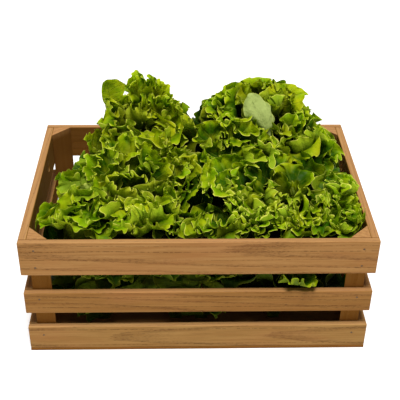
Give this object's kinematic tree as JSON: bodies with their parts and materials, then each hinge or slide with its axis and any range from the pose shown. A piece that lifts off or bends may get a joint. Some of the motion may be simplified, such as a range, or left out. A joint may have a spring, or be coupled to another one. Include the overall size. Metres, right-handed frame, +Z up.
{
  "type": "slatted wooden harvest crate with lettuce",
  "caption": "Slatted wooden harvest crate with nailed corner posts, a boarded floor and rope holes, filled with upright heads of leaf lettuce that lift out.",
  "frame": {"origin": "on the ground, in the middle of the crate's footprint", "axes": "+X along the crate's length, -Y towards its front long side, +Z up"},
  "size_m": [0.45, 0.3, 0.288],
  "materials": {
    "crate_wood": "matte",
    "floor_wood": "matte",
    "brad_steel": "satin",
    "lettuce_leaf": "satin"
  },
  "bodies": {
    "crate": {"back_slat_bottom": "crate_wood", "back_slat_middle": "crate_wood", "back_slat_top": "crate_wood", "brad_back_left_bottom_1": "brad_steel", "brad_back_left_middle_1": "brad_steel", "brad_back_left_top_1": "brad_steel", "brad_back_left_top_2": "brad_steel", "brad_back_right_bottom_1": "brad_steel", "brad_back_right_middle_1": "brad_steel", "brad_back_right_top_1": "brad_steel", "brad_back_right_top_2": "brad_steel", "brad_floor_1_left": "brad_steel", "brad_floor_1_right": "brad_steel", "brad_floor_2_left": "brad_steel", "brad_floor_2_right": "brad_steel", "brad_floor_3_left": "brad_steel", "brad_floor_3_right": "brad_steel", "brad_floor_4_left": "brad_steel", "brad_floor_4_right": "brad_steel", "brad_front_left_bottom_1": "brad_steel", "brad_front_left_middle_1": "brad_steel", "brad_front_left_top_1": "brad_steel", "brad_front_left_top_2": "brad_steel", "brad_front_right_bottom_1": "brad_steel", "brad_front_right_middle_1": "brad_steel", "brad_front_right_top_1": "brad_steel", "brad_front_right_top_2": "brad_steel", "brad_left_end_back_bottom": "brad_steel", "brad_left_end_back_middle": "brad_steel", "brad_left_end_back_top": "brad_steel", "brad_left_end_front_bottom": "brad_steel", "brad_left_end_front_middle": "brad_steel", "brad_left_end_front_top": "brad_steel", "brad_right_end_back_bottom": "brad_steel", "brad_right_end_back_middle": "brad_steel", "brad_right_end_back_top": "brad_steel", "brad_right_end_front_bottom": "brad_steel", "brad_right_end_front_middle": "brad_steel", "brad_right_end_front_top": "brad_steel", "floor_board_1": "floor_wood", "floor_board_2": "floor_wood", "floor_board_3": "floor_wood", "floor_board_4": "floor_wood", "front_slat_bottom": "crate_wood", "front_slat_middle": "crate_wood", "front_slat_top": "crate_wood", "left_end_slat_bottom": "crate_wood", "left_end_slat_middle": "crate_wood", "left_end_slat_top": "crate_wood", "post_back_left": "crate_wood", "post_back_right": "crate_wood", "post_front_left": "crate_wood", "post_front_right": "crate_wood", "right_end_slat_bottom": "crate_wood", "right_end_slat_middle": "crate_wood", "right_end_slat_top": "crate_wood"},
    "head_back_left": {"lettuce_back_left": "lettuce_leaf"},
    "head_back_right": {"lettuce_back_right": "lettuce_leaf"},
    "head_front_left": {"lettuce_front_left": "lettuce_leaf"},
    "head_front_right": {"lettuce_front_right": "lettuce_leaf"}
  },
  "joints": [
    {"name": "lift_back_left", "type": "slide", "parent": "crate", "child": "head_back_left", "axis": [0, 0, 1], "range_m": [0, 0.3]},
    {"name": "lift_back_right", "type": "slide", "parent": "crate", "child": "head_back_right", "axis": [0, 0, 1], "range_m": [0, 0.3]},
    {"name": "lift_front_left", "type": "slide", "parent": "crate", "child": "head_front_left", "axis": [0, 0, 1], "range_m": [0, 0.3]},
    {"name": "lift_front_right", "type": "slide", "parent": "crate", "child": "head_front_right", "axis": [0, 0, 1], "range_m": [0, 0.3]}
  ]
}
